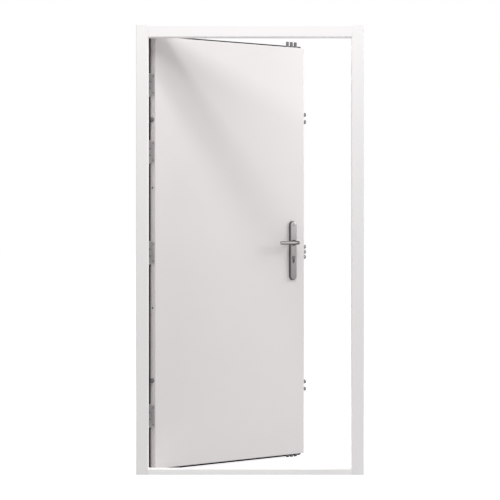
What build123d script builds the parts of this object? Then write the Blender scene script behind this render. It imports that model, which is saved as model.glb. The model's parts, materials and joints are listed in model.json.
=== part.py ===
from build123d import *
import os

# Steel security door set: a pressed steel frame and a flush steel leaf that opens outwards.
# Millimetres. X across the doorway, Y out of the building, Z up.
# The origin is the middle of the underside of the sill.
# The leaf is modelled shut, then hung at the angle at which it stands open.

# Frame
frame_width = 1023.0
frame_height = 2020.0
frame_depth = 113.0
frame_face = 54.0
frame_sheet = 2.0
frame_bend = 3.0
stop_depth = 75.0
wall_return = 22.0
sill_height = 24.0
sill_low_height = 10.0
fixing_radius = 6.0
fixing_end = 210.0
fixing_inner_spacing = 560.0

# Leaf
open_angle = 42.4
stop_lap = 10.5
side_gap = 5.0
top_gap = 5.0
bottom_gap = 5.5
stop_gap = 5.0
tray_depth = 40.0
lip_thickness = 5.0
lip_side = 10.5
lip_top = 9.4
lip_bottom = 12.5
skin_sheet = 1.5
tray_bend = 3.0
lip_bend = 2.0
seal_depth = 9.0
seal_relief = 0.3

# Hinges: two placed up from the floor, two placed down from the top of the frame
hinge_rises = (254.0, 996.0)
hinge_drops = (566.0, 261.0)
hinge_height = 100.0
hinge_end_knuckle = 14.0
hinge_stand_off = 14.0
knuckle_radius = 8.0
pin_radius = 4.0
pin_clearance = 0.05
pin_head_radius = 7.0
pin_head_height = 3.0
pin_head_chamfer = 1.5
flap_thickness = 2.3
flap_inset = 3.0
knuckle_gap = 0.5
hinge_notch_gap = 3.0

# Dog bolts on the hinge edge, the lower one up from the floor and the upper one down from the top
dog_rise = 415.0
dog_drop = 419.0
dog_radius = 10.0
dog_stand_out = 8.0
dog_shank_radius = 5.0
dog_shank_length = 14.0
dog_nose = 2.0

# Multi-point lock: places along the edges, radii and throws of the bolts
lock_middle = 990.0
deadbolt_offsets = (-24.5, 0.0, 24.5)
latch_offset = 55.0
spindle_offset = 45.0
side_bolt_reach = 647.5
side_bolt_pitch = 35.0
end_bolt_middle = 66.0
end_bolt_pitch = 26.0
side_bolt_radius = 10.0
end_bolt_radius = 7.5
side_throw = 24.0
top_throw = 27.0
bottom_throw = 14.5
bolt_nose = 1.0
bolt_clearance = 0.08
keep_clearance = 2.0
yoke_thickness = 6.0
yoke_inset = 24.0
case_wall = 2.0
case_half_thickness = 14.0
case_depth = 60.0
case_end = 8.0
window_gap = 0.3
faceplate_margin = 5.0
faceplate_half_width = 10.8
end_case_depth = 92.0
end_yoke_inset = 48.0
centre_case_below = 95.0
centre_case_above = 105.0
centre_case_depth = 98.0
rod_radius = 4.0
rod_entry = 8.0

# Latch
latch_height = 24.0
latch_thickness = 14.0
latch_stand_out = 14.0
latch_tail = 40.0
latch_bevel = 9.0
latch_clearance = 0.25

# Handle set
backset = 80.0
backplate_width = 42.0
backplate_length = 284.0
backplate_thickness = 11.0
backplate_bevel = 6.0
backplate_bevel_depth = 2.5
backplate_round = 1.0
backplate_drop = 38.0
spindle_side = 8.0
socket_clearance = 0.1
socket_depth = 20.0
follower_radius = 7.0
neck_radius = 9.0
neck_clearance = 0.1
collar_radius = 13.5
collar_height = 6.0
lever_length = 120.0
lever_stand_out = 47.0
elbow_radius = 10.0
grip_height = 17.5
grip_thickness = 12.0
grip_middle = 62.0
grip_bow = 2.0
tip_height = 15.5
tip_thickness = 10.0
tip_round = 2.8

# Profile cylinder
cylinder_drop = 72.0
cylinder_radius = 8.5
cylinder_height = 33.0
cylinder_stem = 10.0
cylinder_stand_out = 2.0
cylinder_gap = 0.3
plug_radius = 6.5
plug_clearance = 0.05
cam_radius = 14.5
cam_width = 10.0
cam_gap = 0.5
keyway_width = 1.6
keyway_height = 9.0
keyway_depth = 12.0

# Filling of the leaf
lock_space = 120.0
stile_sheet = 2.0
stile_flange = 18.0

# Planes and edges worked out from the sizes above
half_width = frame_width / 2
clear_half = half_width - frame_face
y_front = -frame_depth / 2
y_back = frame_depth / 2
y_stop = y_front + stop_depth
tray_half = clear_half + stop_lap
rebate_half = tray_half + side_gap
soffit = frame_height - frame_face
tray_top = soffit + stop_lap
tray_bottom = sill_low_height + bottom_gap
y_leaf = y_stop + stop_gap
y_lip = y_leaf + tray_depth
y_outer = y_lip + lip_thickness
y_mid = (y_leaf + y_outer) / 2
y_lock = y_leaf + tray_depth / 2
x_axis = -(tray_half + side_gap / 2)
y_axis = y_outer + hinge_stand_off
spindle_x = tray_half - backset
lip_half = tray_half + lip_side
lip_low = tray_bottom - lip_bottom
lip_high = tray_top + lip_top
core_edge = tray_half - skin_sheet - lock_space
end_bolt_x = tray_half - end_bolt_middle

# Heights worked out from the sizes above
fixing_spacings = (frame_height - 2 * fixing_end, fixing_inner_spacing)
hinge_heights = hinge_rises + tuple(frame_height - drop for drop in hinge_drops)
dog_heights = (dog_rise, frame_height - dog_drop)
side_heights = {"upper": lock_middle + side_bolt_reach, "lower": lock_middle - side_bolt_reach}
pair_offsets = (-side_bolt_pitch / 2, side_bolt_pitch / 2)
end_offsets = (-end_bolt_pitch, 0.0, end_bolt_pitch)
spindle_height = lock_middle + spindle_offset
cylinder_z = spindle_height - cylinder_drop
backplate_middle = spindle_height - backplate_drop
centre_case_low = lock_middle - centre_case_below
centre_case_high = lock_middle + centre_case_above


def block(x0, x1, y0, y1, z0, z1):
    """A plain block between two corners."""
    middle = ((x0 + x1) / 2, (y0 + y1) / 2, (z0 + z1) / 2)
    return Pos(*middle) * Box(x1 - x0, y1 - y0, z1 - z0)


def rod_along(axis, radius, start, length):
    """A round bar from a start point along X, Y or Z."""
    turn = {"X": (0, 90, 0), "Y": (-90, 0, 0), "Z": (0, 0, 0)}[axis]
    bar = Cylinder(radius, length, align=(Align.CENTER, Align.CENTER, Align.MIN))
    return Pos(*start) * Rot(*turn) * bar


def hang(shape):
    """Turn a piece of the shut leaf to where the leaf stands open."""
    return shape.rotate(Axis((x_axis, y_axis, 0), (0, 0, 1)), open_angle)


# Frame of folded sheet
def folded_section(gap):
    """Section of a jamb or head: across from the wall side, and back from the front face."""
    step = stop_lap + gap
    bends = [
        (0, wall_return),
        (0, 0),
        (frame_face, 0),
        (frame_face, stop_depth),
        (frame_face - step, stop_depth),
        (frame_face - step, frame_depth),
        (0, frame_depth),
        (0, frame_depth - wall_return),
    ]
    visible = FilletPolyline(*bends, radius=frame_bend)
    outline = offset(visible, amount=frame_sheet, side=Side.LEFT)
    return make_face(outline)


def side_place(z):
    """Place on the lock edge of the leaf: X out of the edge, Z up the edge."""
    return Plane(origin=(tray_half, y_lock, z), x_dir=(1, 0, 0), z_dir=(0, 0, 1))


def top_place():
    """Place on the top edge of the leaf: X up out of the edge."""
    return Plane(origin=(end_bolt_x, y_lock, tray_top), x_dir=(0, 0, 1), z_dir=(-1, 0, 0))


def bottom_place():
    """Place on the bottom edge of the leaf: X down out of the edge."""
    return Plane(origin=(end_bolt_x, y_lock, tray_bottom), x_dir=(0, 0, -1), z_dir=(1, 0, 0))


def keep_holes(place, offsets, radius, reach):
    """Round holes in the frame that the thrown bolts enter."""
    holes = [rod_along("X", radius + keep_clearance, (0, 0, offset_z), reach) for offset_z in offsets]
    return [place * hole for hole in holes]


def fixing_holes(x_from):
    """Fixing holes for wall screws, through the reveal of a jamb."""
    holes = []
    for spacing in fixing_spacings:
        for side in (-1, 1):
            start = (x_from, y_front + stop_depth / 2, (frame_height + side * spacing) / 2)
            holes.append(rod_along("X", fixing_radius, start, 2 * frame_bend))
    return holes


def hinge_jamb():
    place = Plane(origin=(-half_width, y_front, 0), x_dir=(1, 0, 0), z_dir=(0, 0, 1))
    jamb = extrude(place * folded_section(side_gap), amount=frame_height)
    for z in dog_heights:
        start = (-rebate_half - frame_bend, y_lock, z)
        jamb -= rod_along("X", dog_radius + keep_clearance, start, 2 * frame_bend)
    for hole in fixing_holes(-clear_half - frame_bend):
        jamb -= hole
    return jamb


def lock_jamb():
    place = Plane(origin=(half_width, y_front, frame_height), x_dir=(-1, 0, 0), z_dir=(0, 0, -1))
    jamb = extrude(place * folded_section(side_gap), amount=frame_height)
    reach = side_throw + keep_clearance
    for hole in keep_holes(side_place(lock_middle), deadbolt_offsets, side_bolt_radius, reach):
        jamb -= hole
    for z in side_heights.values():
        for hole in keep_holes(side_place(z), pair_offsets, side_bolt_radius, reach):
            jamb -= hole
    latch_hole = Pos(reach / 2, 0, latch_offset) * Box(
        reach, latch_thickness + 2 * keep_clearance, latch_height + 2 * keep_clearance
    )
    jamb -= side_place(lock_middle) * latch_hole
    for hole in fixing_holes(clear_half - frame_bend):
        jamb -= hole
    return jamb


def cope(piece, z0, z1):
    """Cut the ends of a cross piece back to the faces and bends of the jambs."""
    for inner, y1 in ((clear_half, y_stop), (rebate_half - frame_bend, y_stop + frame_bend)):
        piece -= block(inner, half_width, y_front, y1, z0, z1)
        piece -= block(-half_width, -inner, y_front, y1, z0, z1)
    return piece


def frame_head():
    place = Plane(origin=(-rebate_half, y_front, frame_height), x_dir=(0, 0, -1), z_dir=(1, 0, 0))
    head = extrude(place * folded_section(top_gap), amount=2 * rebate_half)
    head = cope(head, soffit, frame_height)
    for hole in keep_holes(top_place(), end_offsets, end_bolt_radius, top_throw + keep_clearance):
        head -= hole
    return head


def sill():
    """Threshold of folded sheet, closed below, with a low part under the leaf."""
    corners = [
        (y_front, 0),
        (y_front, sill_height),
        (y_stop, sill_height),
        (y_stop, sill_low_height),
        (y_back, sill_low_height),
        (y_back, 0),
    ]
    section = make_face(Polyline(*corners, close=True))
    hollow = offset(section, amount=-frame_sheet, kind=Kind.INTERSECTION)
    place = Plane(origin=(-rebate_half, 0, 0), x_dir=(0, 1, 0), z_dir=(1, 0, 0))
    strip = extrude(place * (section - hollow), amount=2 * rebate_half)
    strip = cope(strip, 0, sill_height)
    for hole in keep_holes(bottom_place(), end_offsets, end_bolt_radius, 2 * tray_bottom):
        strip -= hole
    return strip


# Hinges: one flap on the frame, one on the leaf, and a loose pin
def knuckle(z0, z1):
    return rod_along("Z", knuckle_radius, (x_axis, y_axis, z0), z1 - z0)


def flap(x0, x1, z, own_spans):
    """A hinge flap with knuckles rolled over the spans of height that are its own."""
    half = hinge_height / 2
    y0 = y_leaf + flap_inset
    plate = block(x0, x1, y0, y_axis - knuckle_radius - knuckle_gap, z - half, z + half)
    for low, high in own_spans:
        plate += block(x0, x1, y0, y_axis - pin_radius, z + low, z + high)
        plate += knuckle(z + low, z + high)
    bore = pin_radius + pin_clearance
    return plate - rod_along("Z", bore, (x_axis, y_axis, z - half), hinge_height)


def frame_hinge_flap(z):
    half = hinge_height / 2
    inner = half - hinge_end_knuckle
    return flap(-rebate_half, -rebate_half + flap_thickness, z, [(-half, -inner), (inner, half)])


def door_hinge_flap(z):
    span = hinge_height / 2 - hinge_end_knuckle - knuckle_gap
    return hang(flap(-tray_half - flap_thickness, -tray_half, z, [(-span, span)]))


def hinge_pin(z):
    half = hinge_height / 2
    pin = rod_along("Z", pin_radius, (x_axis, y_axis, z - half), hinge_height)
    head = Cylinder(pin_head_radius, pin_head_height, align=(Align.CENTER, Align.CENTER, Align.MIN))
    head = chamfer(head.faces().sort_by(Axis.Z)[-1].edges(), pin_head_chamfer)
    pin += Pos(x_axis, y_axis, z + half) * head
    pin += Pos(x_axis, y_axis, z - half) * Rot(180, 0, 0) * head
    return pin


# Leaf of two steel skins
def bolt_windows():
    """Openings in the edges of the tray that the faceplates of the lock fill."""
    low = centre_case_low + case_end
    high = centre_case_high - case_end
    middle = (low + high) / 2
    windows = [side_place(middle) * faceplate((high - low) / 2, window_gap)]
    for z in side_heights.values():
        windows.append(side_place(z) * faceplate(half_face(pair_offsets, side_bolt_radius), window_gap))
    for place in (top_place(), bottom_place()):
        windows.append(place * faceplate(half_face(end_offsets, end_bolt_radius), window_gap))
    return windows


def half_face(offsets, radius):
    """Half the length of the faceplate round a row of bolts."""
    return max(offsets) + radius + faceplate_margin


def faceplate(half_length, gap):
    """A faceplate in the edge of the leaf, or with a gap the window for it."""
    half = half_length + gap
    wide = faceplate_half_width + gap
    return block(-skin_sheet, 0, -wide, wide, -half, half)


def inner_skin():
    """Tray of folded sheet that makes the inner face and the four edges."""
    outside = block(-tray_half, tray_half, y_leaf, y_lip, tray_bottom, tray_top)
    front = outside.faces().sort_by(Axis.Y)[0]
    outside = fillet(front.edges(), tray_bend)
    edge = tray_half - skin_sheet
    low = tray_bottom + skin_sheet
    high = tray_top - skin_sheet
    inside = block(-edge, edge, y_leaf + skin_sheet, y_lip, low, high)
    front = inside.faces().sort_by(Axis.Y)[0]
    inside = fillet(front.edges(), tray_bend - skin_sheet)
    tray = outside - inside
    for window in bolt_windows():
        tray -= window
    for hole in handle_holes(y_leaf, y_leaf + skin_sheet):
        tray -= hole
    for z in dog_heights:
        tray -= rod_along("X", dog_shank_radius + bolt_clearance, (-tray_half, y_lock, z), skin_sheet)
    return hang(tray)


def outer_skin():
    """Outer sheet with its rim folded back into a lip all round."""
    plate = block(-lip_half, lip_half, y_lip, y_outer, lip_low, lip_high)
    plate = fillet(plate.faces().sort_by(Axis.Y)[-1].edges(), lip_bend)
    edge = tray_half - skin_sheet
    low = tray_bottom + skin_sheet
    high = tray_top - skin_sheet
    plate -= block(-edge, edge, y_lip, y_outer - skin_sheet, low, high)
    for notch in hinge_notches():
        plate -= notch
    for hole in handle_holes(y_outer - skin_sheet, y_outer):
        plate -= hole
    return hang(plate)


def hinge_notches():
    """Gaps in the lip and the seal that the hinges pass through."""
    half = hinge_height / 2 + hinge_notch_gap
    notches = []
    for z in hinge_heights:
        notches.append(block(-half_width, -tray_half, y_leaf, y_axis, z - half, z + half))
    return notches


def edge_seal():
    """Black rubber strip of three-cornered section in the corner between tray and lip."""
    deep = y_lip - seal_depth
    inner = block(-tray_half, tray_half, deep, y_lip, tray_bottom, tray_top)
    near = Plane(origin=(0, deep, 0), x_dir=(1, 0, 0), z_dir=(0, 1, 0))
    far = Plane(origin=(0, y_lip, 0), x_dir=(1, 0, 0), z_dir=(0, 1, 0))
    small = near * rim(tray_half + seal_relief, tray_bottom - seal_relief, tray_top + seal_relief)
    large = far * rim(lip_half - seal_relief, lip_low + seal_relief, lip_high - seal_relief)
    strip = loft([small, large], ruled=True) - inner
    for notch in hinge_notches():
        strip -= notch
    return hang(strip)


def rim(half, low, high):
    """A rectangle on an upright plane that looks along Y, whose own Y points down."""
    return Pos(0, -(low + high) / 2) * Rectangle(2 * half, high - low)


def leaf_core():
    """Light filling bonded between the skins, from the hinge edge to the lock space."""
    edge = -tray_half + skin_sheet
    low = tray_bottom + skin_sheet
    high = tray_top - skin_sheet
    core = block(edge, core_edge, y_leaf + skin_sheet, y_outer - skin_sheet, low, high)
    front = core.faces().sort_by(Axis.Y)[0]
    core = chamfer(front.edges(), tray_bend)
    for z in dog_heights:
        core -= rod_along("X", dog_shank_radius + bolt_clearance, (edge, y_lock, z), dog_shank_length)
    return hang(core)


def lock_stile():
    """Steel channel inside the leaf that closes the filling and stiffens the lock edge."""
    y0 = y_leaf + skin_sheet
    y1 = y_outer - skin_sheet
    z0 = tray_bottom + skin_sheet + tray_bend
    z1 = tray_top - skin_sheet - tray_bend
    channel = block(core_edge, core_edge + stile_flange, y0, y1, z0, z1)
    x0 = core_edge + stile_sheet
    x1 = core_edge + stile_flange
    channel -= block(x0, x1, y0 + stile_sheet, y1 - stile_sheet, z0, z1)
    return hang(channel)


def dog_bolt(z):
    """Fixed security bolt on the hinge edge, with its shank through the tray."""
    head = rod_along("X", dog_radius, (-tray_half - dog_stand_out, y_lock, z), dog_stand_out)
    head = chamfer(head.faces().sort_by(Axis.X)[0].edges(), dog_nose)
    shank = rod_along("X", dog_shank_radius, (-tray_half, y_lock, z), dog_shank_length)
    return hang(head + shank)


# Multi-point lock, each unit in its own frame: X out of the edge, Z along the edge
def lock_case(low, high, depth, offsets, radius, face_low, face_high):
    """Steel case behind an edge of the leaf, with its faceplate flush in the edge."""
    front = -skin_sheet
    thick = case_half_thickness
    case = block(front - depth, front, -thick, thick, low, high)
    inside = thick - case_wall
    case -= block(
        front - depth + case_wall, front - case_wall, -inside, inside, low + case_wall, high - case_wall
    )
    middle = (face_low + face_high) / 2
    case += Pos(0, 0, middle) * faceplate((face_high - face_low) / 2, 0)
    for z in offsets:
        bore = radius + bolt_clearance
        case -= rod_along("X", bore, (front - 2 * case_wall, 0, z), 3 * case_wall)
    return case


def bolt_row(offsets, radius, throw, inset):
    """A row of round bolts on one yoke."""
    bolts = Part()
    for z in offsets:
        bolt = rod_along("X", radius, (-inset, 0, z), inset + throw)
        bolts += chamfer(bolt.faces().sort_by(Axis.X)[-1].edges(), bolt_nose)
    low = min(offsets) - radius
    high = max(offsets) + radius
    bolts += block(-inset - yoke_thickness, -inset, -radius, radius, low, high)
    return bolts


def pair_case(z):
    half = half_face(pair_offsets, side_bolt_radius)
    low = -half - case_end
    high = half + case_end
    case = lock_case(low, high, case_depth, pair_offsets, side_bolt_radius, -half, half)
    return hang(side_place(z) * case)


def end_case(place):
    half = half_face(end_offsets, end_bolt_radius)
    low = -half - case_end
    high = half + case_end
    case = lock_case(low, high, end_case_depth, end_offsets, end_bolt_radius, -half, half)
    behind = -skin_sheet - end_case_depth - case_wall
    case -= rod_along("X", rod_radius + bolt_clearance, (behind, 0, 0), 3 * case_wall)
    return hang(place * case)


def centre_lock_case():
    low = centre_case_low - lock_middle
    high = centre_case_high - lock_middle
    case = lock_case(
        low,
        high,
        centre_case_depth,
        deadbolt_offsets,
        side_bolt_radius,
        low + case_end,
        high - case_end,
    )
    latch_hole = Box(
        4 * case_wall, latch_thickness + 2 * latch_clearance, latch_height + 2 * latch_clearance
    )
    case -= Pos(-skin_sheet, 0, latch_offset) * latch_hole
    case = side_place(lock_middle) * case
    spindle_hole = (spindle_x, y_leaf, spindle_height)
    case -= rod_along("Y", follower_radius + pin_clearance, spindle_hole, y_outer - y_leaf)
    case -= cylinder_profile(cylinder_gap, y_leaf, y_outer)
    rod = rod_along("Z", rod_radius + bolt_clearance, (end_bolt_x, y_lock, 0), frame_height)
    return hang(case - rod)


def pair_bolts(z):
    row = bolt_row(pair_offsets, side_bolt_radius, side_throw, yoke_inset)
    return hang(side_place(z) * row)


def centre_deadbolts():
    row = bolt_row(deadbolt_offsets, side_bolt_radius, side_throw, yoke_inset)
    return hang(side_place(lock_middle) * row)


def latch_bolt():
    """Spring latch with a slanted nose that meets the frame first as the leaf shuts."""
    half = latch_thickness / 2
    nose = latch_stand_out
    outline = [(-latch_tail, -half), (nose - latch_bevel, -half), (nose, half), (-latch_tail, half)]
    face = make_face(Polyline(*outline, close=True))
    latch = extrude(face, amount=latch_height / 2, both=True)
    return hang(side_place(lock_middle + latch_offset) * latch)


def end_bolts(place, throw):
    return hang(place * bolt_row(end_offsets, end_bolt_radius, throw, end_yoke_inset))


def upper_drive_rod():
    """Flat-ended rod from the yoke of the top bolts down into the centre lock case."""
    top = tray_top - end_yoke_inset - yoke_thickness
    low = centre_case_high - case_wall - rod_entry
    return hang(rod_along("Z", rod_radius, (end_bolt_x, y_lock, low), top - low))


def lower_drive_rod():
    low = tray_bottom + end_yoke_inset + yoke_thickness
    top = centre_case_low + case_wall + rod_entry
    return hang(rod_along("Z", rod_radius, (end_bolt_x, y_lock, low), top - low))


# Handle set
def cylinder_profile(gap, y0, y1):
    """The keyhole outline of a profile cylinder, made as a bar along Y."""
    radius = cylinder_radius + gap
    stem = cylinder_stem / 2 + gap
    stem_centre = cylinder_z + cylinder_radius - cylinder_height + cylinder_stem / 2
    shape = rod_along("Y", radius, (spindle_x, y0, cylinder_z), y1 - y0)
    shape += rod_along("Y", stem, (spindle_x, y0, stem_centre), y1 - y0)
    shape += block(spindle_x - stem, spindle_x + stem, y0, y1, stem_centre, cylinder_z)
    return shape


def handle_holes(y0, y1):
    """Holes through a skin for the follower and the profile cylinder."""
    spindle = rod_along("Y", follower_radius + cylinder_gap, (spindle_x, y0, spindle_height), y1 - y0)
    return [spindle, cylinder_profile(cylinder_gap, y0, y1)]


def mirror_out(shape):
    """Make the outside copy of a piece of the inside handle set."""
    return mirror(shape, about=Plane.XZ.offset(-y_mid))


def backplate_outline(y, inset):
    """Outline of the backplate at a depth, narrowed all round by an inset."""
    place = Plane(origin=(spindle_x, y, backplate_middle), x_dir=(1, 0, 0), z_dir=(0, -1, 0))
    length = backplate_length - 2 * inset
    width = backplate_width - 2 * inset
    return place * SlotOverall(length, width, rotation=90)


def backplate():
    """Long plate with round ends and a wide bevel, with a collar round the lever's neck."""
    y_face = y_leaf - backplate_thickness
    y_bevel = y_face + backplate_bevel_depth
    plate = extrude(backplate_outline(y_leaf, 0), amount=y_leaf - y_bevel)
    plate += loft([backplate_outline(y_bevel, 0), backplate_outline(y_face, backplate_bevel)], ruled=True)
    shoulder = [edge for edge in plate.edges() if abs(edge.center().Y - y_bevel) < backplate_round / 2]
    plate = fillet(shoulder, backplate_round)
    collar_start = (spindle_x, y_face - collar_height, spindle_height)
    plate += rod_along("Y", collar_radius, collar_start, collar_height)
    bore_length = backplate_thickness + collar_height
    plate -= rod_along("Y", neck_radius + neck_clearance, collar_start, bore_length)
    plate -= cylinder_profile(cylinder_gap, y_face, y_leaf)
    return plate


def lever():
    """Lever with a round neck, a tight elbow and a grip that flattens to an oval."""
    y_grip = y_leaf - lever_stand_out
    neck_end = (spindle_x, y_grip + elbow_radius, spindle_height)
    handle = rod_along("Y", neck_radius, neck_end, lever_stand_out - elbow_radius)
    ring = Plane(origin=neck_end, x_dir=(1, 0, 0), z_dir=(0, -1, 0)) * Circle(neck_radius)
    bend = Axis((spindle_x - elbow_radius, y_grip + elbow_radius, spindle_height), (0, 0, -1))
    handle += revolve(ring, bend, 90)
    handle += grip(y_grip)
    side = spindle_side + 2 * socket_clearance
    y_socket = y_leaf - socket_depth
    socket = block(-side / 2, side / 2, y_socket, y_leaf, -side / 2, side / 2)
    return handle - Pos(spindle_x, 0, spindle_height) * socket


def grip(y_grip):
    """The lever from its elbow to its rounded tip: how far along, how far bowed, and each oval."""
    stations = [
        (elbow_radius, 0.0, 2 * neck_radius, 2 * neck_radius),
        (grip_middle, grip_bow, grip_thickness, grip_height),
        (lever_length, 0.0, tip_thickness, tip_height),
    ]
    ovals = []
    for along, bow, thickness, height in stations:
        centre = (spindle_x - along, y_grip - bow, spindle_height)
        place = Plane(origin=centre, x_dir=(0, 0, 1), z_dir=(-1, 0, 0))
        ovals.append(place * Ellipse(height / 2, thickness / 2))
    bar = loft(ovals)
    return fillet(bar.faces().sort_by(Axis.X)[0].edges(), tip_round)


def spindle():
    """Square bar through both levers, with the round follower of the lock case on it."""
    half = spindle_side / 2
    y0 = y_leaf - socket_depth
    y1 = y_outer + socket_depth
    bar = block(-half, half, y0, y1, -half, half)
    bar = Pos(spindle_x, 0, spindle_height) * bar
    start = (spindle_x, y_lock - case_half_thickness, spindle_height)
    return hang(bar + rod_along("Y", follower_radius, start, 2 * case_half_thickness))


def lock_cylinder():
    """Profile cylinder body, parted in the middle for the cam."""
    y0 = y_leaf - backplate_thickness - cylinder_stand_out
    y1 = y_outer + backplate_thickness + cylinder_stand_out
    body = cylinder_profile(0, y0, y1)
    body -= rod_along("Y", plug_radius + plug_clearance, (spindle_x, y0, cylinder_z), y1 - y0)
    gap = cam_width / 2 + cam_gap
    body -= rod_along("Y", cam_radius + cam_gap, (spindle_x, y_mid - gap, cylinder_z), 2 * gap)
    return hang(body)


def key_plug():
    """Key plug with a keyway at each end and the cam in the middle."""
    y0 = y_leaf - backplate_thickness - cylinder_stand_out
    y1 = y_outer + backplate_thickness + cylinder_stand_out
    plug = rod_along("Y", plug_radius, (spindle_x, y0, cylinder_z), y1 - y0)
    half_key = keyway_width / 2
    for start in (y0, y1 - keyway_depth):
        slot = block(-half_key, half_key, start, start + keyway_depth, 0, keyway_height)
        plug -= Pos(spindle_x, 0, cylinder_z - keyway_height / 2) * slot
    half_cam = cam_width / 2
    plug += rod_along("Y", cylinder_radius, (spindle_x, y_mid - half_cam, cylinder_z), cam_width)
    tooth = block(-half_cam / 2, half_cam / 2, -half_cam, half_cam, -cam_radius + cam_gap, 0)
    plug += Pos(spindle_x, y_mid, cylinder_z) * tooth
    return hang(plug)


def all_parts():
    parts = {
        "hinge_jamb": hinge_jamb(),
        "lock_jamb": lock_jamb(),
        "frame_head": frame_head(),
        "sill": sill(),
        "inner_skin": inner_skin(),
        "outer_skin": outer_skin(),
        "leaf_core": leaf_core(),
        "lock_stile": lock_stile(),
        "edge_seal": edge_seal(),
        "centre_lock_case": centre_lock_case(),
        "top_lock_case": end_case(top_place()),
        "bottom_lock_case": end_case(bottom_place()),
        "latch_bolt": latch_bolt(),
        "centre_deadbolts": centre_deadbolts(),
        "top_bolts": end_bolts(top_place(), top_throw),
        "bottom_bolts": end_bolts(bottom_place(), bottom_throw),
        "upper_drive_rod": upper_drive_rod(),
        "lower_drive_rod": lower_drive_rod(),
        "inner_backplate": hang(backplate()),
        "outer_backplate": hang(mirror_out(backplate())),
        "inner_lever": hang(lever()),
        "outer_lever": hang(mirror_out(lever())),
        "spindle": spindle(),
        "lock_cylinder": lock_cylinder(),
        "key_plug": key_plug(),
    }
    for name, z in side_heights.items():
        parts[name + "_lock_case"] = pair_case(z)
        parts[name + "_side_bolts"] = pair_bolts(z)
    for name, z in zip(("lower", "upper"), dog_heights):
        parts[name + "_dog_bolt"] = dog_bolt(z)
    for number, z in enumerate(hinge_heights, start=1):
        parts[f"frame_hinge_flap_{number}"] = frame_hinge_flap(z)
        parts[f"door_hinge_flap_{number}"] = door_hinge_flap(z)
        parts[f"hinge_pin_{number}"] = hinge_pin(z)
    return parts


os.makedirs("parts", exist_ok=True)
for name, shape in all_parts().items():
    export_step(shape, os.path.join("parts", name + ".step"))
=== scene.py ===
import bmesh
import bpy
import json
import math
from mathutils import Matrix, Vector


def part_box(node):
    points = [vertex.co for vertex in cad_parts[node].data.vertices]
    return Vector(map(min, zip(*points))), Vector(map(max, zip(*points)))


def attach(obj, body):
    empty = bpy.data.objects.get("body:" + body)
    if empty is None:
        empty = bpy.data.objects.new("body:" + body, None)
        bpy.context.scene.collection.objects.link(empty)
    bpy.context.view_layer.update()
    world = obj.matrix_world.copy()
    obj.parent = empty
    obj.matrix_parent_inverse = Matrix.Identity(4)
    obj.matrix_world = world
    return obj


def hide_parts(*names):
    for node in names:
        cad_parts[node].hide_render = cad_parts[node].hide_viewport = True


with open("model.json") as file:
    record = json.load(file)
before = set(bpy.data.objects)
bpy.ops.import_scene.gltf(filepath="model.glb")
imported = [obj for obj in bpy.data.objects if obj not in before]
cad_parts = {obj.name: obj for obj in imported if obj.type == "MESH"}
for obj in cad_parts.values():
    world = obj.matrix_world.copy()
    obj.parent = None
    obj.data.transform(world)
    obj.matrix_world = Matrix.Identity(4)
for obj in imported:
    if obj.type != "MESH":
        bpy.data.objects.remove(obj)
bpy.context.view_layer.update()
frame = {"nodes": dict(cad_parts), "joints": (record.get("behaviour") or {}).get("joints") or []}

nodes = frame["nodes"]
joints = {joint["name"]: joint for joint in frame["joints"]}

# Camera
# The set is seen square on from inside the building, from a little over nine metres away.
# The eye is at 1.15 m, and the camera is shifted down, not tilted, so the jambs stay upright.
photo_size = 500
frame_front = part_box("hinge_jamb")[0].y
eye_height = 1.15
eye_distance = 9.17
horizon_row = 218.8
pixel_scale = 0.0044889
film_width = 36.0
camera_data = bpy.data.cameras.new("camera")
camera_data.sensor_width = film_width
camera_data.lens = film_width * eye_distance / (pixel_scale * photo_size)
camera_data.shift_y = (horizon_row - photo_size / 2) / photo_size
camera_data.clip_end = 100.0
camera = bpy.data.objects.new("camera", camera_data)
camera.location = (0.0, frame_front - eye_distance, eye_height)
camera.rotation_euler = (math.radians(90), 0.0, 0.0)
bpy.context.scene.collection.objects.link(camera)
bpy.context.scene.camera = camera
bpy.context.scene.view_settings.view_transform = "Standard"

# Jambs, head and sill
# Pressed steel sections, two millimetres thick, with the head welded between the jambs.
# They are powder coated white: a slightly pebbled, satin skin, a little whiter on the sill.
frame_white = (0.89, 0.875, 0.868, 1.0)
frame_white_shade = (0.872, 0.856, 0.85, 1.0)


class Wire:
    """One socket of a material's nodes, so that sums and products read as plain Python."""

    def __init__(self, tree, socket=None):
        self.tree = tree
        self.socket = socket

    def add(self, kind, settings=None, inputs=None, out=0):
        """Make a node: its settings first, then the values or wires of its sockets."""
        node = self.tree.nodes.new("ShaderNode" + kind)
        for name, value in (settings or {}).items():
            setattr(node, name, value)
        for name, value in (inputs or {}).items():
            if isinstance(value, Wire):
                self.tree.links.new(value.socket, node.inputs[name])
            else:
                node.inputs[name].default_value = value
        return Wire(self.tree, node.outputs[out])

    def maths(self, operation, first, second):
        return self.add("Math", {"operation": operation}, {0: first, 1: second})

    def __add__(self, other):
        return self.maths("ADD", self, other)

    def __radd__(self, other):
        return self.maths("ADD", other, self)

    def __sub__(self, other):
        return self.maths("SUBTRACT", self, other)

    def __rsub__(self, other):
        return self.maths("SUBTRACT", other, self)

    def __mul__(self, other):
        return self.maths("MULTIPLY", self, other)


def new_finish(name):
    """A bare material: its first wire, and a function that connects the finished shader."""
    material = bpy.data.materials.new(name)
    material.use_nodes = True
    tree = material.node_tree
    tree.nodes.clear()
    output = tree.nodes.new("ShaderNodeOutputMaterial")

    def close(shader):
        tree.links.new(shader.socket, output.inputs["Surface"])
        return material

    return Wire(tree), close


def noise(start, place, scale, detail):
    """Soft random grain, so many blots to the metre."""
    return start.add("TexNoise", inputs={"Vector": place, "Scale": scale, "Detail": detail})


def blend(start, mask, first, second):
    """Mix two colours by a mask."""
    settings = {"data_type": "RGBA"}
    return start.add("Mix", settings, {"Factor": mask, "A": first, "B": second}, out="Result")


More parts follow.
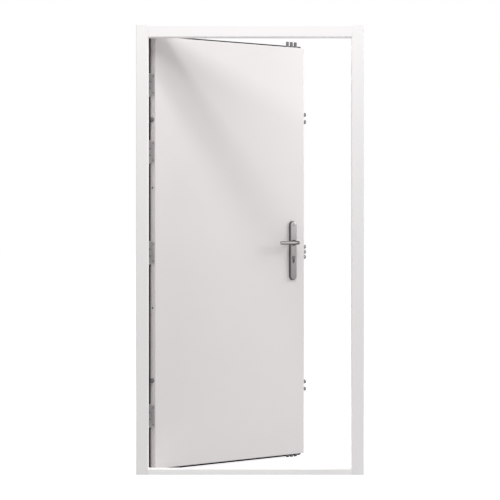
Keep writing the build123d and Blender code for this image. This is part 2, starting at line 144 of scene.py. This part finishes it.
def powder_coat(name, light, shade, gloss, pebble):
    """White powder coating: faint cloudiness, fine orange peel and uneven gloss."""
    start, close = new_finish(name)
    place = start.add("TexCoord", out="Object")
    cloud = noise(start, place, 3.0, 3.0)
    peel = noise(start, place, 420.0, 2.0)
    fine = noise(start, place, 1500.0, 1.0)
    colour = blend(start, cloud, shade, light)
    relief = peel * 0.7 + fine * 0.3
    normal = start.add("Bump", inputs={"Strength": 0.35, "Distance": pebble, "Height": relief})
    roughness = gloss + (cloud - 0.5) * 0.08 + (fine - 0.5) * 0.05
    shader = start.add("BsdfPrincipled", inputs={
        "Base Color": colour, "Roughness": roughness, "Normal": normal,
    })
    return close(shader)


def dress(material, *names):
    """Give the CAD nodes with these names one finish all over."""
    for name in names:
        mesh = nodes[name].data
        mesh.materials.clear()
        mesh.materials.append(material)


frame_coat = powder_coat("frame_coat", frame_white, frame_white_shade, gloss=0.42, pebble=0.00006)
dress(frame_coat, "hinge_jamb", "lock_jamb", "frame_head")
sill_white = (0.97, 0.958, 0.952, 1.0)
sill_white_shade = (0.95, 0.938, 0.932, 1.0)
sill_coat = powder_coat("sill_coat", sill_white, sill_white_shade, gloss=0.38, pebble=0.00006)
dress(sill_coat, "sill")

# Leaf skins
# Two pressed steel sheets: the inner one folded as a tray, the outer one with a lip all round.
# The same powder coating as the frame, smoother and glossier on flat sheet, its white darkened as
# painted shade.
leaf_white = (0.73, 0.70, 0.698, 1.0)
leaf_white_shade = (0.712, 0.682, 0.68, 1.0)
leaf_coat = powder_coat("leaf_coat", leaf_white, leaf_white_shade, gloss=0.34, pebble=0.00004)
dress(leaf_coat, "inner_skin", "outer_skin")

# Filling of the leaf
# A light paper honeycomb, glued between the skins before they are folded together.
# It shows only if the leaf is cut open.
card_brown = (0.50, 0.37, 0.22, 1.0)
card_dark_fibre = (0.30, 0.21, 0.12, 1.0)


def honeycomb():
    start, close = new_finish("honeycomb_card")
    place = start.add("TexCoord", out="Object")
    edges = {"feature": "DISTANCE_TO_EDGE"}
    cells = start.add("TexVoronoi", edges, {"Vector": place, "Scale": 80.0}, out="Distance")
    fibre = noise(start, place, 300.0, 4.0)
    colour = blend(start, fibre, card_dark_fibre, card_brown)
    normal = start.add("Bump", inputs={"Strength": 0.5, "Distance": 0.001, "Height": cells})
    shader = start.add("BsdfPrincipled", inputs={
        "Base Color": colour, "Roughness": 0.8 + fibre * 0.1, "Normal": normal,
    })
    return close(shader)


dress(honeycomb(), "leaf_core")

# Seal
# A black rubber gasket pressed on the lip, all round the tray, and cut out at the hinges.
# It is a solid strip with rounded edges, which the frame all but meets when the leaf is shut.
rubber_black = (0.008, 0.007, 0.008, 1.0)
rubber_grey = (0.016, 0.014, 0.015, 1.0)
leaf_joint = joints["leaf_swing"]
open_angle = math.radians(-leaf_joint["range_deg"][0])
hinge_axis = Vector(leaf_joint["pos_m"])
tray_half = 0.468
tray_bottom = 0.0155
tray_top = 1.9765
gasket_reach = 0.0104
gasket_top = 0.0093
gasket_bottom = 0.0124
gasket_back = 0.0633
gasket_front = 0.0586
gasket_round = 0.0008
hinge_gap = 0.0031
sharp_edge = math.radians(35)
upright = math.radians(90)
hinge_numbers = range(1, 5)


def rubber():
    start, close = new_finish("seal_rubber")
    place = start.add("TexCoord", out="Object")
    bloom = noise(start, place, 60.0, 3.0)
    pores = noise(start, place, 2500.0, 1.0)
    colour = blend(start, bloom, rubber_black, rubber_grey)
    normal = start.add("Bump", inputs={"Strength": 0.4, "Distance": 0.00005, "Height": pores})
    shader = start.add("BsdfPrincipled", inputs={
        "Base Color": colour, "Roughness": 0.65 + bloom * 0.15, "Normal": normal,
        "Specular IOR Level": 0.1,
    })
    return close(shader)


def hang(mesh):
    """Turn a piece of the shut leaf to where the leaf stands open."""
    turn = Matrix.Rotation(open_angle, 3, "Z")
    bmesh.ops.rotate(mesh, verts=mesh.verts, cent=hinge_axis, matrix=turn)


def new_piece(name, mesh, body, slot, *materials):
    """Make a finished piece of a mesh: its normals, shading, finishes and body; the slot is not
    used.
    """
    bmesh.ops.recalc_face_normals(mesh, faces=mesh.faces)
    data = bpy.data.meshes.new(name)
    mesh.to_mesh(data)
    mesh.free()
    for face in data.polygons:
        face.use_smooth = True
    data.set_sharp_from_angle(angle=sharp_edge)
    for material in materials:
        data.materials.append(material)
    piece = bpy.data.objects.new(name, data)
    bpy.context.scene.collection.objects.link(piece)
    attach(piece, body)
    return piece


def gasket():
    """The strip on the shut leaf: a sheet as large as the lip, opened, thickened and rounded."""
    strip = bmesh.new()
    bmesh.ops.create_grid(strip, x_segments=1, y_segments=1, size=0.5)
    low = tray_bottom - gasket_bottom
    high = tray_top + gasket_top
    half_way = (low + high) / 2
    across = 2 * (tray_half + gasket_reach)
    bmesh.ops.scale(strip, verts=strip.verts, vec=(across, high - low, 1.0))
    bmesh.ops.rotate(strip, verts=strip.verts, matrix=Matrix.Rotation(upright, 3, "X"))
    bmesh.ops.translate(strip, verts=strip.verts, vec=(0.0, gasket_back, half_way))
    middle = strip.faces[:]
    bmesh.ops.inset_region(
        strip, faces=middle, use_boundary=True, thickness=gasket_reach, use_even_offset=True,
    )
    for corner in middle[0].verts:
        corner.co.z = tray_top if corner.co.z > half_way else tray_bottom
    bmesh.ops.delete(strip, geom=middle, context="FACES_ONLY")
    raised = bmesh.ops.extrude_face_region(strip, geom=strip.faces[:])
    front = [item for item in raised["geom"] if isinstance(item, bmesh.types.BMVert)]
    bmesh.ops.translate(strip, verts=front, vec=(0.0, gasket_front - gasket_back, 0.0))
    rounded = [
        edge for edge in strip.edges
        if all(corner in front for corner in edge.verts)
        and all(abs(corner.co.x) > tray_half + gasket_reach / 2 for corner in edge.verts)
    ]
    bmesh.ops.bevel(
        strip, geom=rounded, offset=gasket_round, segments=3, profile=0.5, affect="EDGES",
        material=-1,
    )
    for number in hinge_numbers:
        flap_low, flap_high = (corner.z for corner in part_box(f"frame_hinge_flap_{number}"))
        cut_low = flap_low - hinge_gap
        cut_high = flap_high + hinge_gap
        for height in (cut_low, cut_high):
            bmesh.ops.bisect_plane(
                strip, geom=strip.verts[:] + strip.edges[:] + strip.faces[:],
                plane_co=(0.0, 0.0, height), plane_no=(0.0, 0.0, 1.0),
            )
        centres = {face: face.calc_center_median() for face in strip.faces}
        between = [
            face for face, centre in centres.items()
            if centre.x < 0.0 and cut_low < centre.z < cut_high
        ]
        bmesh.ops.delete(strip, geom=between, context="FACES")
    open_edges = [edge for edge in strip.edges if edge.is_boundary]
    bmesh.ops.holes_fill(strip, edges=open_edges, sides=0)
    return strip


seal_rubber = rubber()
dress(seal_rubber, "edge_seal")
gasket_mesh = gasket()
hang(gasket_mesh)
gasket_piece = new_piece("rubber_gasket", gasket_mesh, "leaf", "seal_rubber", seal_rubber)
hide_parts("edge_seal")

# Lock cases and stile
# Folded and zinc-plated steel inside the leaf, in a dull and cloudy grey.
# Only the faceplates show, flush in the leaf's edges.
zinc_light = (0.55, 0.55, 0.56, 1.0)
zinc_dark = (0.40, 0.40, 0.415, 1.0)


def plated(name, light, dark, dullness, grain_size, shine=1.0):
    """Metal with a cloudy colour, fine grain and uneven gloss."""
    start, close = new_finish(name)
    place = start.add("TexCoord", out="Object")
    cloud = noise(start, place, 25.0, 3.0)
    grain = noise(start, place, grain_size, 3.0)
    colour = blend(start, cloud, dark, light)
    normal = start.add("Bump", inputs={"Strength": 0.25, "Distance": 0.00003, "Height": grain})
    roughness = dullness + (grain - 0.5) * 0.16 + (cloud - 0.5) * 0.08
    shader = start.add("BsdfPrincipled", inputs={
        "Base Color": colour, "Metallic": shine, "Roughness": roughness, "Normal": normal,
    })
    return close(shader)


zinc = plated("zinc_plating", zinc_light, zinc_dark, dullness=0.45, grain_size=900.0)
dress(zinc, "lock_stile", "upper_drive_rod", "lower_drive_rod", "top_lock_case")
dress(zinc, "bottom_lock_case", "upper_lock_case", "lower_lock_case", "centre_lock_case")

# Faceplate screws
# Two countersunk machine screws, zinc plated, hold the long faceplate of the centre case.
# Each head is pressed as a flat disc with a shallow round drive, whose floor is painted dark as
# painted shade.
# Painted shade for the drives' floors; the edge plugs are made in the same dark finish.
drive_shade_and_plug = (0.10, 0.10, 0.10, 1.0)
drive_shade_and_plug_deep = (0.06, 0.06, 0.06, 1.0)
edge_middle = 0.0435
faceplate_screw_heights = (0.913, 1.077)


def pressed_heads(facing, places, radius, rise, dome=0.0):
    """Heads that look one way: flat ones with a shallow drive in painted shade, or domed ones
    without it.
    """
    head = bmesh.new()
    bmesh.ops.create_cone(
        head, cap_ends=True, segments=24, radius1=radius, radius2=radius, depth=2 * rise,
    )
    bmesh.ops.recalc_face_normals(head, faces=head.faces)
    top = next(face for face in head.faces if face.normal.z > 0.9)
    if dome:
        bmesh.ops.bevel(
            head, geom=top.edges[:], offset=dome, segments=4, profile=0.5, affect="EDGES",
            material=-1,
        )
    else:
        for thickness in (radius * 0.5, radius * 0.06):
            bmesh.ops.inset_region(head, faces=[top], thickness=thickness)
        bmesh.ops.translate(head, verts=top.verts, vec=(0.0, 0.0, -0.7 * rise))
        # Painted shade: the drive's floor takes the second, dark finish.
        top.material_index = 1
    turn = Vector((0.0, 0.0, 1.0)).rotation_difference(Vector(facing)).to_matrix().to_4x4()
    heads = bmesh.new()
    for place in places:
        one = bpy.data.meshes.new("head")
        head.to_mesh(one)
        one.transform(Matrix.Translation(place) @ turn)
        heads.from_mesh(one)
        bpy.data.meshes.remove(one)
    head.free()
    return heads


drive = plated("drive_shade_and_plug_finish", drive_shade_and_plug, drive_shade_and_plug_deep, dullness=0.6, grain_size=900.0, shine=0.4)
faceplate_places = [(tray_half, edge_middle, height) for height in faceplate_screw_heights]
faceplate_heads = pressed_heads((1, 0, 0), faceplate_places, radius=0.0038, rise=0.0003)
hang(faceplate_heads)
new_piece("faceplate_screws", faceplate_heads, "leaf", "plated_steel", zinc, drive)

# Hinges and dog bolts
# Four butt hinges of dull steel, each with a flap on the rebate and a flap on the leaf's edge,
# and two fixed security bolts of darker steel, screwed through the edge of the tray.
hinge_light = (0.60, 0.58, 0.58, 1.0)
hinge_dark = (0.49, 0.47, 0.475, 1.0)
hinge_steel = plated(
    "hinge_steel", hinge_light, hinge_dark, dullness=0.50, grain_size=1200.0, shine=0.2,
)
for number in hinge_numbers:
    dress(hinge_steel, f"frame_hinge_flap_{number}", f"door_hinge_flap_{number}")
    dress(hinge_steel, f"hinge_pin_{number}")
dog_light = (0.19, 0.184, 0.186, 1.0)
dog_dark = (0.13, 0.126, 0.128, 1.0)
dog_steel = plated("dog_steel", dog_light, dog_dark, dullness=0.55, grain_size=1200.0, shine=0.2)
dress(dog_steel, "lower_dog_bolt", "upper_dog_bolt")

# Hinge screws and edge plugs
# Four countersunk screws hold each flap, all but flush, so that two flaps can close together.
# Two small domed plugs close the filling holes in the hinge edge of the tray.
screw_light = (0.34, 0.33, 0.33, 1.0)
screw_dark = (0.26, 0.25, 0.25, 1.0)
flap_face = 0.0023
rebate_half = 0.473
flap_screws = ((0.037, -0.038), (0.060, -0.015), (0.060, 0.015), (0.037, 0.038))
plug_heights = (0.745, 1.291)
screw_steel = plated(
    "screw_steel", screw_light, screw_dark, dullness=0.40, grain_size=1200.0, shine=0.5,
)
frame_places = []
leaf_places = []
for number in hinge_numbers:
    flap_low, flap_high = (corner.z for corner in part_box(f"frame_hinge_flap_{number}"))
    middle = (flap_low + flap_high) / 2
    for depth, up in flap_screws:
        frame_places.append((flap_face - rebate_half, depth, middle + up))
        leaf_places.append((-tray_half - flap_face, depth, middle + up))
frame_heads = pressed_heads((1, 0, 0), frame_places, radius=0.0045, rise=0.0001)
new_piece("frame_hinge_screws", frame_heads, "frame", "hinge_steel", screw_steel, drive)
leaf_heads = pressed_heads((-1, 0, 0), leaf_places, radius=0.0045, rise=0.0001)
hang(leaf_heads)
new_piece("leaf_hinge_screws", leaf_heads, "leaf", "hinge_steel", screw_steel, drive)
plug_places = [(-tray_half, edge_middle, height) for height in plug_heights]
plugs = pressed_heads((-1, 0, 0), plug_places, radius=0.0042, rise=0.0018, dome=0.0014)
hang(plugs)
new_piece("edge_plugs", plugs, "leaf", "hinge_steel", drive)

# Bolts and latch
# Turned steel bolts, dull and oiled, which the lock's yokes carry in and out of the leaf.
# The middle three and the latch with its slanted nose are a little brighter.
bolt_light = (0.20, 0.195, 0.195, 1.0)
bolt_dark = (0.14, 0.136, 0.136, 1.0)
bolt_steel = plated(
    "bolt_steel", bolt_light, bolt_dark, dullness=0.55, grain_size=1500.0, shine=0.15,
)
dress(bolt_steel, "upper_side_bolts", "lower_side_bolts", "top_bolts", "bottom_bolts")
polished_light = (0.29, 0.283, 0.283, 1.0)
polished_dark = (0.22, 0.214, 0.214, 1.0)
polished_steel = plated(
    "polished_bolts", polished_light, polished_dark, dullness=0.55, grain_size=1500.0, shine=0.15,
)
dress(polished_steel, "latch_bolt", "centre_deadbolts")

# Handle set
# Pressed backplates and forged levers of satin stainless steel, brushed along their length.
# A plate's wall and collar and a lever's underside are painted dark as shade, a lever's top and
# elbow as dark reflections.
# Painted light and shade: the face's colour at the plate's top and at its bottom.
plate_top_painted_light = (0.41, 0.389, 0.391, 1.0)
plate_bottom_painted_shade = (0.225, 0.214, 0.215, 1.0)
# Painted shade: near black on the plate's pressed wall and collar.
wall_painted_shade_light = (0.10, 0.095, 0.097, 1.0)
wall_painted_shade_dark = (0.06, 0.056, 0.058, 1.0)
plate_low = 0.855
plate_high = 1.139
leaf_middle = 0.046
face_stand_out = 0.0335
wall_ends = (face_stand_out - 0.0022, face_stand_out - 0.0008)
collar_starts = (face_stand_out + 0.0004, face_stand_out + 0.0012)


def rising(start, value, low, high):
    """Nought below one value and one above another, with a soft step between."""
    step = {"interpolation_type": "SMOOTHSTEP"}
    return start.add("MapRange", step, {"Value": value, "From Min": low, "From Max": high})


def shut_place(start, place):
    """A point of the open leaf, seen from the hinge axis with the leaf shut."""
    inputs = {"Vector": place, "Location": hinge_axis, "Rotation": (0.0, 0.0, open_angle)}
    return start.add("Mapping", {"vector_type": "TEXTURE"}, inputs)


def strokes(start, place, stretch):
    """Fine brush strokes, long where the stretch is large."""
    inputs = {"Vector": place, "Scale": stretch}
    return noise(start, start.add("Mapping", {"vector_type": "TEXTURE"}, inputs), 700.0, 3.0)


def brushed_plate():
    """Satin face, brushed up and down and painted lighter towards the top, over painted shade on
    the wall and collar.
    """
    start, close = new_finish("plate_steel")
    place = start.add("TexCoord", out="Object")
    in_leaf = shut_place(start, place)
    depth = start.add("SeparateXYZ", inputs={"Vector": in_leaf}, out="Y")
    from_middle = depth + (hinge_axis.y - leaf_middle)
    stand_out = start.add("Math", {"operation": "ABSOLUTE"}, {0: from_middle})
    # Painted shade: the mask is nought on the pressed wall and on the collar, one on the face.
    face = rising(start, stand_out, *wall_ends) * (1 - rising(start, stand_out, *collar_starts))
    cloud = noise(start, place, 25.0, 3.0)
    grain = strokes(start, in_leaf, (0.6, 0.6, 14.0))
    height = start.add("SeparateXYZ", inputs={"Vector": place}, out="Z")
    reach = {"Value": height, "From Min": plate_low, "From Max": plate_high}
    rise = start.add("MapRange", inputs=reach)
    # Painted light: the face is lighter towards the top, darker towards the bottom.
    bright = blend(start, rise * 0.8 + cloud * 0.2, plate_bottom_painted_shade, plate_top_painted_light)
    wall_painted_shade = blend(start, cloud, wall_painted_shade_dark, wall_painted_shade_light)
    colour = blend(start, face, wall_painted_shade, bright)
    normal = start.add("Bump", inputs={"Strength": 0.25, "Distance": 0.00003, "Height": grain})
    roughness = 0.42 + (grain - 0.5) * 0.16 + (cloud - 0.5) * 0.08 + (1 - face) * 0.25
    shader = start.add("BsdfPrincipled", inputs={
        "Base Color": colour, "Metallic": face * 0.55, "Roughness": roughness, "Normal": normal,
        "Specular IOR Level": 0.2,
    })
    return close(shader)


dress(brushed_plate(), "inner_backplate", "outer_backplate")
lever_light = (0.49, 0.473, 0.47, 1.0)
lever_dark = (0.39, 0.376, 0.374, 1.0)
# Painted shade and painted dark reflections on the lever, in near black.
painted_lever_shade = (0.05, 0.047, 0.048, 1.0)
lever_height = 1.035
elbow_start = 0.350
elbow_end = 0.394


def brushed_lever():
    """Satin along the front of the grip, with painted shade below and painted dark reflections
    above and round the elbow.
    """
    start, close = new_finish("lever_steel")
    place = start.add("TexCoord", out="Object")
    in_leaf = shut_place(start, place)
    along = start.add("SeparateXYZ", inputs={"Vector": in_leaf}, out="X") + hinge_axis.x
    up = start.add("SeparateXYZ", inputs={"Vector": place}, out="Z") - lever_height
    # Painted shade under the grip and painted dark reflections along its top and round the elbow.
    elbow = rising(start, along, elbow_start, elbow_end)
    over_belly = rising(start, up, elbow * 0.0045 - 0.0072, -0.0005)
    under_back = rising(start, up * -1.0, elbow * 0.008 - 0.0095, 0.0)
    outside_painted_shade = over_belly * under_back * (1 - elbow * 0.75)
    cloud = noise(start, place, 25.0, 3.0)
    grain = strokes(start, in_leaf, (14.0, 0.6, 0.6))
    bright = blend(start, cloud, lever_dark, lever_light)
    colour = blend(start, outside_painted_shade, painted_lever_shade, bright)
    normal = start.add("Bump", inputs={"Strength": 0.25, "Distance": 0.00003, "Height": grain})
    shader = start.add("BsdfPrincipled", inputs={
        "Base Color": colour, "Metallic": outside_painted_shade * 0.5, "Normal": normal,
        "Roughness": 0.40 + (grain - 0.5) * 0.16, "Specular IOR Level": 0.2,
    })
    return close(shader)


dress(brushed_lever(), "inner_lever", "outer_lever", "spindle")
spindle_x = 0.388
plate_front = leaf_middle - face_stand_out
plate_screw_heights = (0.876, 1.118)
plate_places = [(spindle_x, plate_front, height) for height in plate_screw_heights]
plate_heads = pressed_heads((0, -1, 0), plate_places, radius=0.0038, rise=0.0005)
hang(plate_heads)
new_piece("plate_screws", plate_heads, "leaf", "handle_steel", screw_steel, drive)

# Profile cylinder
# Nickel-plated brass, smoother than the plates, coloured dark.
# The key plug turns in it and is rubbed brighter by the key.
nickel_light = (0.11, 0.106, 0.102, 1.0)
nickel_dark = (0.07, 0.067, 0.064, 1.0)
plug_light = (0.27, 0.262, 0.252, 1.0)
plug_dark = (0.20, 0.194, 0.186, 1.0)
nickel = plated(
    "cylinder_nickel", nickel_light, nickel_dark, dullness=0.35, grain_size=900.0, shine=0.6,
)
dress(nickel, "lock_cylinder")
plug_nickel = plated(
    "plug_nickel", plug_light, plug_dark, dullness=0.28, grain_size=900.0, shine=0.7,
)
dress(plug_nickel, "key_plug")

# Floor
# A plain white studio floor that keeps the soft shadow of the set.
# It and the world look white to the camera and to glossy surfaces, whatever light falls on them.
floor_white = (0.58, 0.58, 0.58, 1.0)
pure_white = (1.0, 1.0, 1.0, 1.0)
floor_glow = 0.78
floor_half = 60.0


def watched(start):
    """One where the camera, a glossy surface or glass looks, and nought for plain light."""
    rays = start.add("LightPath").socket.node.outputs
    kinds = ("Is Camera Ray", "Is Glossy Ray", "Is Transmission Ray")
    seen, glossy, through = (Wire(start.tree, rays[kind]) for kind in kinds)
    seen_or_mirrored = start.maths("MAXIMUM", seen, glossy)
    return start.maths("MAXIMUM", seen_or_mirrored, through)


def studio_floor():
    start, close = new_finish("studio_floor")
    matt = start.add("BsdfDiffuse", inputs={"Color": floor_white})
    glow = start.add("Emission", inputs={"Color": pure_white, "Strength": floor_glow})
    lifted = start.add("AddShader", inputs={0: matt, 1: glow})
    return close(start.add("MixShader", inputs={"Fac": watched(start), 1: matt, 2: lifted}))


floor_mesh = bmesh.new()
bmesh.ops.create_grid(floor_mesh, x_segments=1, y_segments=1, size=floor_half)
floor_data = bpy.data.meshes.new("floor")
floor_mesh.to_mesh(floor_data)
floor_mesh.free()
floor_data.materials.append(studio_floor())
floor = bpy.data.objects.new("floor", floor_data)
bpy.context.scene.collection.objects.link(floor)

# Studio light
# A pale surrounding, two lamps high in front, one on the right and one behind.
# The surrounding looks white to the camera and in reflections, whatever light it sheds.
world = bpy.data.worlds.new("studio")
bpy.context.scene.world = world
world.use_nodes = True
world.node_tree.nodes.clear()
sky = Wire(world.node_tree)
ambient = 0.43
sky_strength = watched(sky) * (1.0 - ambient) + ambient
sky_light = sky.add("Background", inputs={"Color": pure_white, "Strength": sky_strength})
world_output = world.node_tree.nodes.new("ShaderNodeOutputWorld")
world.node_tree.links.new(sky_light.socket, world_output.inputs["Surface"])


def softbox(name, place, aim, size, power):
    """A rectangular lamp that faces a point and isn't seen itself."""
    data = bpy.data.lights.new(name, "AREA")
    data.shape = "RECTANGLE"
    data.size, data.size_y = size
    data.energy = power
    lamp = bpy.data.objects.new(name, data)
    lamp.location = place
    lamp.rotation_euler = (Vector(aim) - Vector(place)).to_track_quat("-Z", "Y").to_euler()
    lamp.visible_camera = False
    bpy.context.scene.collection.objects.link(lamp)
    return lamp


softbox("lamp_small_high", (0.35, -1.9, 5.4), aim=(0.0, 0.1, 1.4), size=(0.7, 0.7), power=54.0)
softbox("lamp_large_front", (0.1, -2.6, 4.6), aim=(0.0, 0.2, 1.4), size=(2.4, 2.4), power=100.0)
softbox("lamp_right", (2.9, 1.6, 2.1), aim=(0.1, 0.5, 0.9), size=(1.3, 1.3), power=64.0)
softbox("lamp_behind", (-1.8, 4.6, 3.2), aim=(-0.1, 0.4, 1.1), size=(2.4, 2.4), power=66.0)
